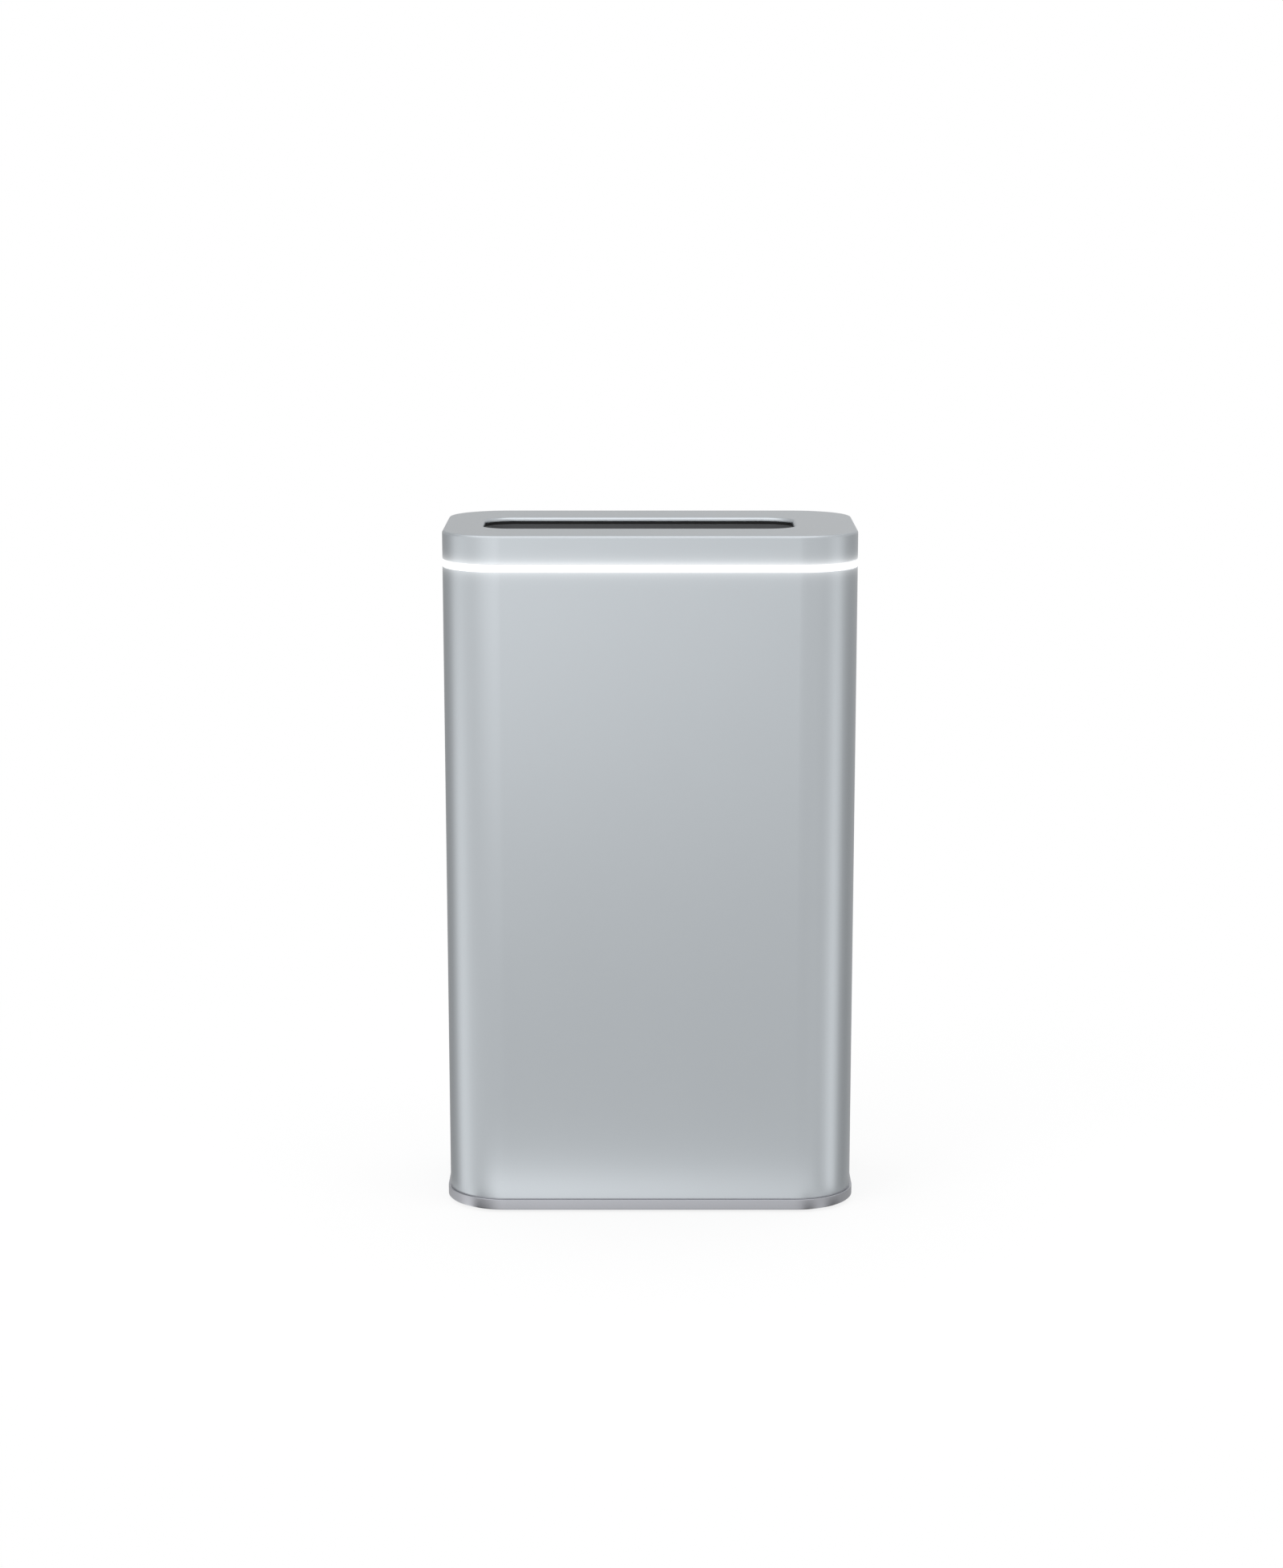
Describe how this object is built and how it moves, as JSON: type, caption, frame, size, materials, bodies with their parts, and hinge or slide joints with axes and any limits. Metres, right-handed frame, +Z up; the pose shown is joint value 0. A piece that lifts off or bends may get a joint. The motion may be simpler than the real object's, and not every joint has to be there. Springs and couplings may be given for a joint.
{
  "type": "ultraviolet phone sanitizer box",
  "caption": "Free-standing upright box with a slot in its top: a screw lift lowers a phone between lamps and a pair of shutters closes over it.",
  "frame": {"origin": "centre of the underside, on the plane the feet rest on", "axes": "+Z up, -Y towards the front, +X to the user's right"},
  "size_m": [0.1254, 0.0754, 0.2068],
  "materials": {
    "satin_silver": "satin, fine bead-blasted",
    "cap_silver": "satin, fine bead-blasted",
    "base_metal": "satin silver paint",
    "foot_rubber": "matt",
    "light_guide": "frosted, lit from below",
    "seal_rubber": "matt",
    "liner_plastic": "fine texture",
    "frame_plastic": "fine texture",
    "quartz": "clear",
    "mirror_sheet": "polished",
    "lamp_glass": "clear tube",
    "cap_metal": "plated",
    "shutter_plastic": "fine texture",
    "gear_plastic": "moulded acetal",
    "motor_steel": "drawn can",
    "bracket_steel": "zinc plated",
    "switch_plastic": "moulded",
    "carriage_plastic": "fine texture",
    "pad_rubber": "soft silicone",
    "brass_parts": "turned",
    "rod_steel": "ground",
    "board": "solder resist",
    "led_chip": "phosphor",
    "ribbon_film": "flat cable",
    "button_plastic": "satin silver",
    "screw_steel": "zinc plated"
  },
  "bodies": {
    "housing": {"base_plate": "base_metal", "foot_pads": "foot_rubber", "body_sleeve": "satin_silver", "light_ring": "light_guide", "top_cap": "cap_silver", "slot_gasket": "seal_rubber", "slot_liner": "liner_plastic", "shutter_cover": "liner_plastic", "left_frame": "frame_plastic", "right_frame": "frame_plastic", "chamber_floor": "frame_plastic", "front_pane": "quartz", "rear_pane": "quartz", "front_reflector": "mirror_sheet", "rear_reflector": "mirror_sheet", "front_lamp": "lamp_glass", "rear_lamp": "lamp_glass", "lamp_caps": "cap_metal", "lamp_clips": "seal_rubber", "shutter_deck": "liner_plastic", "shutter_motor": "motor_steel", "shutter_bracket": "bracket_steel", "door_switch": "switch_plastic", "lift_motor": "motor_steel", "left_guide_rod": "rod_steel", "right_guide_rod": "rod_steel", "screw_bushes": "brass_parts", "upper_bracket": "bracket_steel", "rod_clip": "bracket_steel", "main_board": "board", "lamp_driver": "board", "led_board": "board", "leds": "led_chip", "led_ribbon": "ribbon_film", "dc_inlet": "switch_plastic", "button_switch": "switch_plastic", "phone_sensor": "board", "base_screws": "screw_steel", "deck_screws": "screw_steel"},
    "carriage_unit": {"carriage": "carriage_plastic", "carriage_pad": "pad_rubber", "lift_nut": "brass_parts"},
    "screw_unit": {"lead_screw": "rod_steel", "lead_gear": "gear_plastic"},
    "lift_pinion_unit": {"lift_pinion": "brass_parts"},
    "front_shutter_unit": {"front_shutter": "shutter_plastic"},
    "rear_shutter_unit": {"rear_shutter": "shutter_plastic"},
    "shutter_pinion_unit": {"shutter_pinion": "gear_plastic"},
    "button_unit": {"power_button": "button_plastic"}
  },
  "joints": [
    {"name": "lift_slide", "type": "slide", "parent": "housing", "child": "carriage_unit", "axis": [0, 0, 1], "range_m": [-0.08, 0]},
    {"name": "screw_spin", "type": "hinge", "parent": "housing", "child": "screw_unit", "pos_m": [0.0529, 0, 0.05], "axis": [0, 0, 1], "range_deg": [0, 7200]},
    {"name": "lift_pinion_spin", "type": "hinge", "parent": "housing", "child": "lift_pinion_unit", "pos_m": [0.0529, -0.0104, 0.0085], "axis": [0, 0, 1], "range_deg": [-11520, 0]},
    {"name": "front_shutter_slide", "type": "slide", "parent": "housing", "child": "front_shutter_unit", "axis": [0, 1, 0], "range_m": [0, 0.0146]},
    {"name": "rear_shutter_slide", "type": "slide", "parent": "housing", "child": "rear_shutter_unit", "axis": [0, 1, 0], "range_m": [-0.0146, 0]},
    {"name": "shutter_pinion_spin", "type": "hinge", "parent": "housing", "child": "shutter_pinion_unit", "pos_m": [0.052, 0, 0.186], "axis": [0, 0, 1], "range_deg": [0, 186]},
    {"name": "button_press", "type": "slide", "parent": "housing", "child": "button_unit", "axis": [0, -1, 0], "range_m": [0, 0.001], "stiffness_N_per_m": 600}
  ],
  "couplings": [
    {"joint": "screw_spin", "follows": "lift_slide", "rad_per_m": -1570.8},
    {"joint": "lift_pinion_spin", "follows": "lift_slide", "rad_per_m": 2513.3},
    {"joint": "rear_shutter_slide", "follows": "front_shutter_slide", "ratio": -1},
    {"joint": "shutter_pinion_spin", "follows": "front_shutter_slide", "rad_per_m": 222.22}
  ]
}
